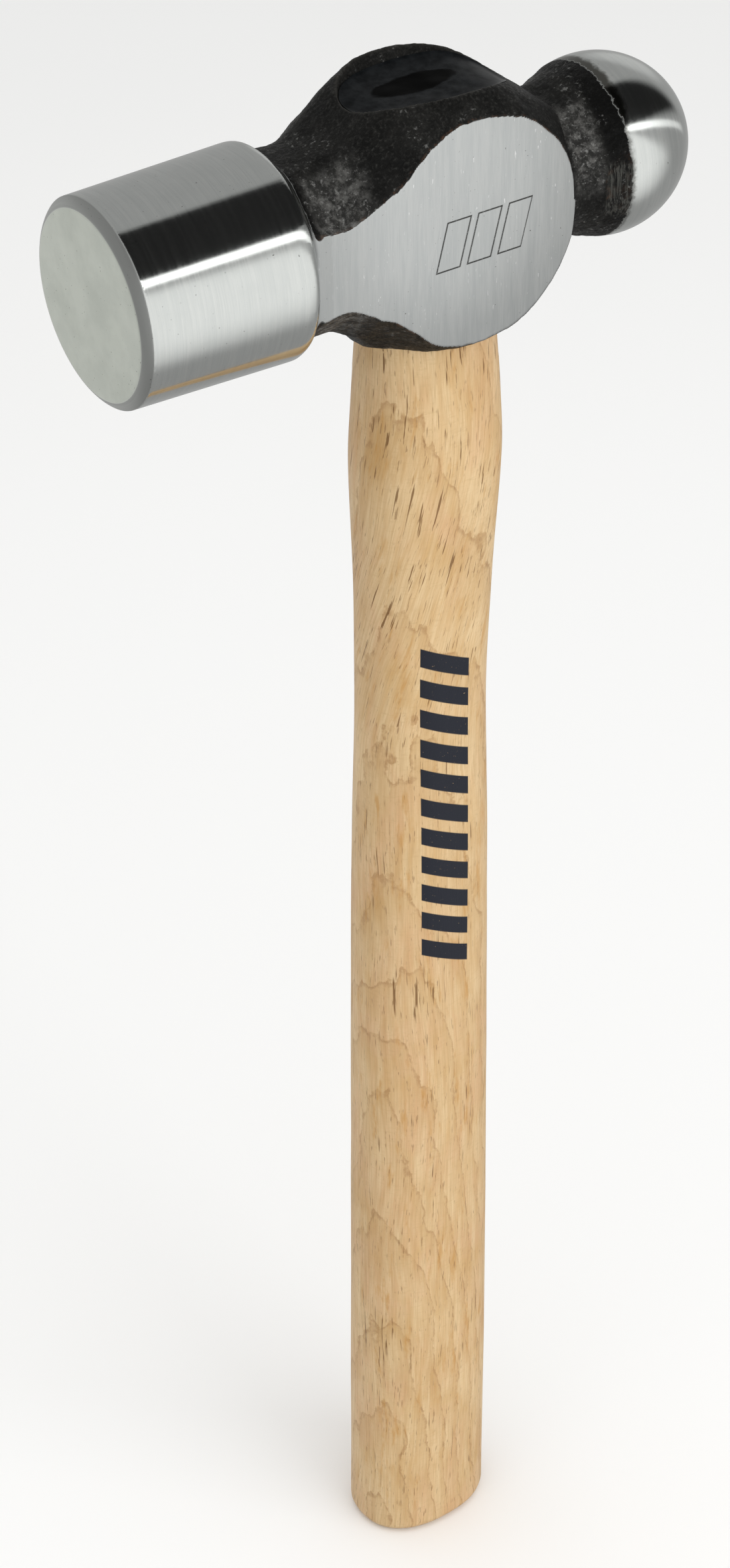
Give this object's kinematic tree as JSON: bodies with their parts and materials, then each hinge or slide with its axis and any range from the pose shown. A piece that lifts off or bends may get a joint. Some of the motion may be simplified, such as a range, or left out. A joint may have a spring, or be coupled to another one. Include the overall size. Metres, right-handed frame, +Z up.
{
  "type": "ball peen hammer",
  "caption": "Ball peen hammer: forged steel head with a flat round face, ground cheeks and a ball, wedged onto an oval wooden handle; for metalwork and riveting.",
  "frame": {"origin": "centre of the flat butt end of the handle", "axes": "+Z runs up the handle to the head, -X is the way the striking face looks, +X is towards the ball, and the ground cheeks face -Y and +Y"},
  "size_m": [0.1278, 0.0406, 0.3799],
  "materials": {
    "forged_steel": "polished face, poll and ball, brushed cheeks, dark as-forged scale elsewhere",
    "pale_wood": "clear satin lacquer",
    "black_resin": "gloss",
    "wedge_wood": "raw",
    "wedge_steel": "mill scale"
  },
  "bodies": {
    "root": {"hammer_head": "forged_steel", "handle": "pale_wood", "eye_seal": "black_resin", "wooden_wedge": "wedge_wood", "steel_wedge_front": "wedge_steel", "steel_wedge_rear": "wedge_steel"}
  },
  "joints": []
}
